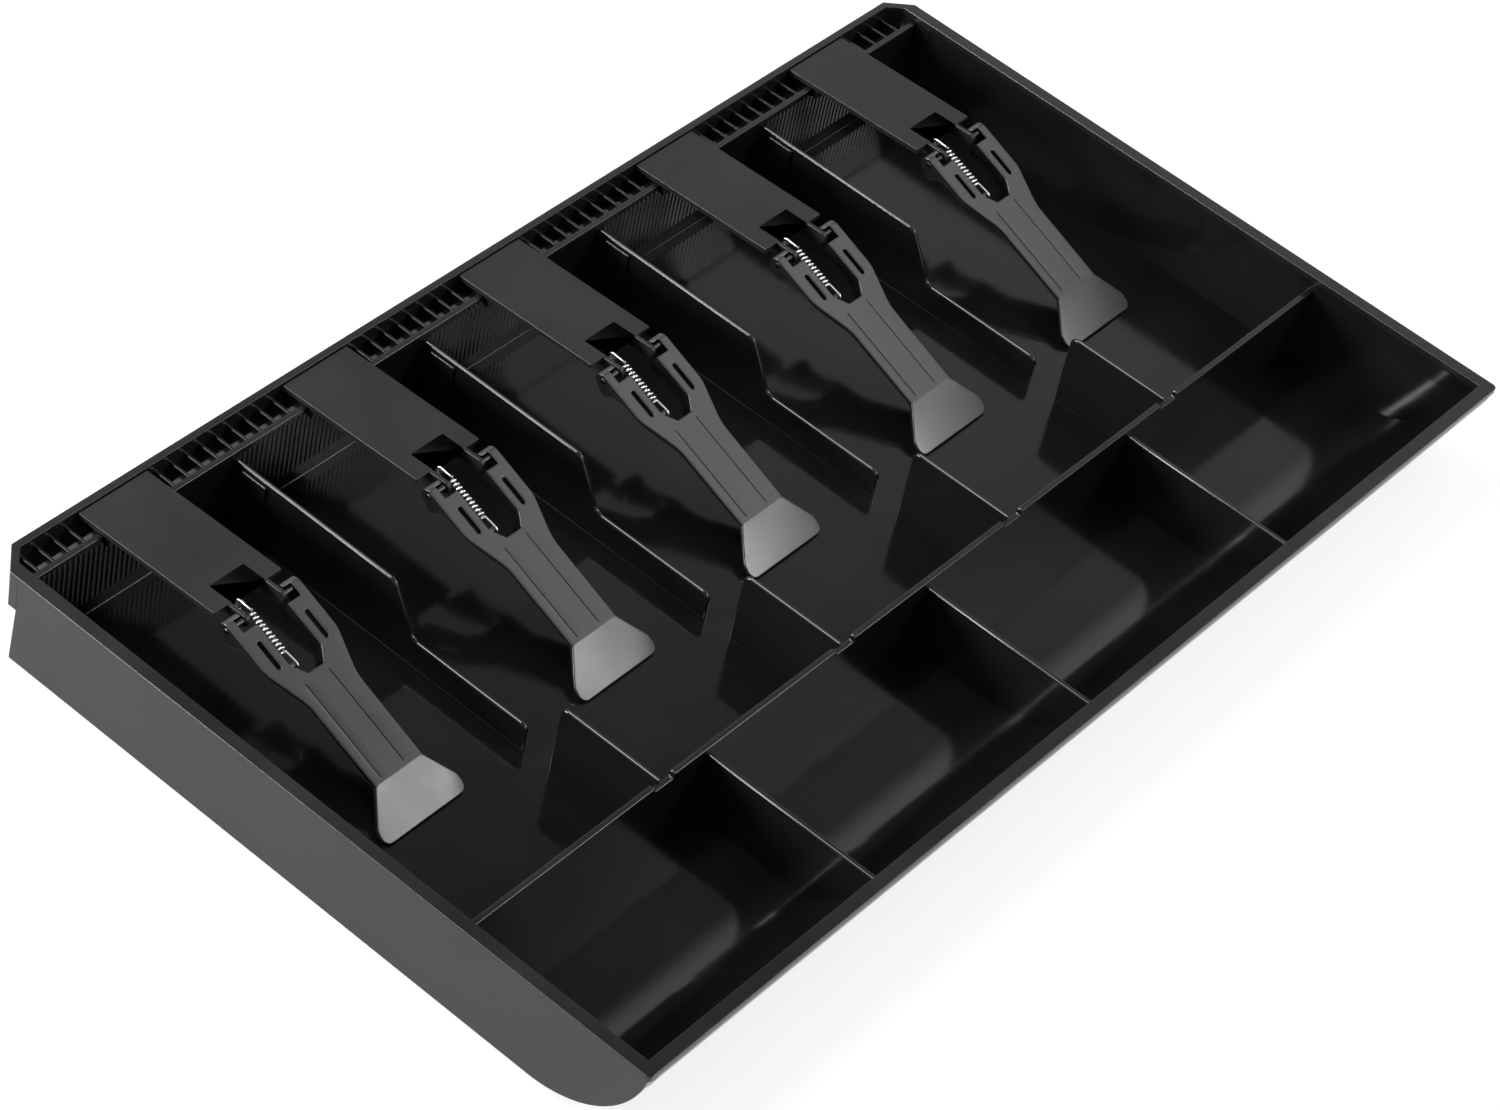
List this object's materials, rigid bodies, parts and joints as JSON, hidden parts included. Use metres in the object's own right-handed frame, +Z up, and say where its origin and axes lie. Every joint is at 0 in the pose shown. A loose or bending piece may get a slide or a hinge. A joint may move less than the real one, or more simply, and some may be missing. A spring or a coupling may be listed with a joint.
{
  "type": "cash drawer insert",
  "caption": "Moulded cash drawer insert with note bays, rounded coin cups and sprung note clips that lift.",
  "frame": {"origin": "middle of the footprint, on the plane that the tray rests on", "axes": "+X along the tray to the right, +Y from the coin cups to the rail at the back, +Z up"},
  "size_m": [0.404, 0.244, 0.0349],
  "materials": {
    "tray_plastic": "glossy",
    "bracket_plastic": "satin",
    "lever_plastic": "satin",
    "pin_steel": "dark",
    "spring_steel": "bright"
  },
  "bodies": {
    "tray": {"tray": "tray_plastic", "clip_bracket_1": "bracket_plastic", "hinge_pin_left_1": "pin_steel", "hinge_pin_right_1": "pin_steel", "clip_spring_1": "spring_steel", "clip_bracket_2": "bracket_plastic", "hinge_pin_left_2": "pin_steel", "hinge_pin_right_2": "pin_steel", "clip_spring_2": "spring_steel", "clip_bracket_3": "bracket_plastic", "hinge_pin_left_3": "pin_steel", "hinge_pin_right_3": "pin_steel", "clip_spring_3": "spring_steel", "clip_bracket_4": "bracket_plastic", "hinge_pin_left_4": "pin_steel", "hinge_pin_right_4": "pin_steel", "clip_spring_4": "spring_steel", "clip_bracket_5": "bracket_plastic", "hinge_pin_left_5": "pin_steel", "hinge_pin_right_5": "pin_steel", "clip_spring_5": "spring_steel"},
    "lever_1": {"clip_lever_1": "lever_plastic"},
    "lever_2": {"clip_lever_2": "lever_plastic"},
    "lever_3": {"clip_lever_3": "lever_plastic"},
    "lever_4": {"clip_lever_4": "lever_plastic"},
    "lever_5": {"clip_lever_5": "lever_plastic"}
  },
  "joints": [
    {"name": "clip_hinge_1", "type": "hinge", "parent": "tray", "child": "lever_1", "pos_m": [-0.15821, 0.06, 0.03265], "axis": [-1, 0, 0], "range_deg": [0, 100], "stiffness_Nm_per_rad": 0.015, "springref_deg": -114.59, "deforming": ["clip_spring_1"]},
    {"name": "clip_hinge_2", "type": "hinge", "parent": "tray", "child": "lever_2", "pos_m": [-0.0768, 0.06, 0.03265], "axis": [-1, 0, 0], "range_deg": [0, 100], "stiffness_Nm_per_rad": 0.015, "springref_deg": -114.59, "deforming": ["clip_spring_2"]},
    {"name": "clip_hinge_3", "type": "hinge", "parent": "tray", "child": "lever_3", "pos_m": [-0.0012, 0.06, 0.03265], "axis": [-1, 0, 0], "range_deg": [0, 100], "stiffness_Nm_per_rad": 0.015, "springref_deg": -114.59, "deforming": ["clip_spring_3"]},
    {"name": "clip_hinge_4", "type": "hinge", "parent": "tray", "child": "lever_4", "pos_m": [0.0802, 0.06, 0.03265], "axis": [-1, 0, 0], "range_deg": [0, 100], "stiffness_Nm_per_rad": 0.015, "springref_deg": -114.59, "deforming": ["clip_spring_4"]},
    {"name": "clip_hinge_5", "type": "hinge", "parent": "tray", "child": "lever_5", "pos_m": [0.1558, 0.06, 0.03265], "axis": [-1, 0, 0], "range_deg": [0, 100], "stiffness_Nm_per_rad": 0.015, "springref_deg": -114.59, "deforming": ["clip_spring_5"]}
  ]
}
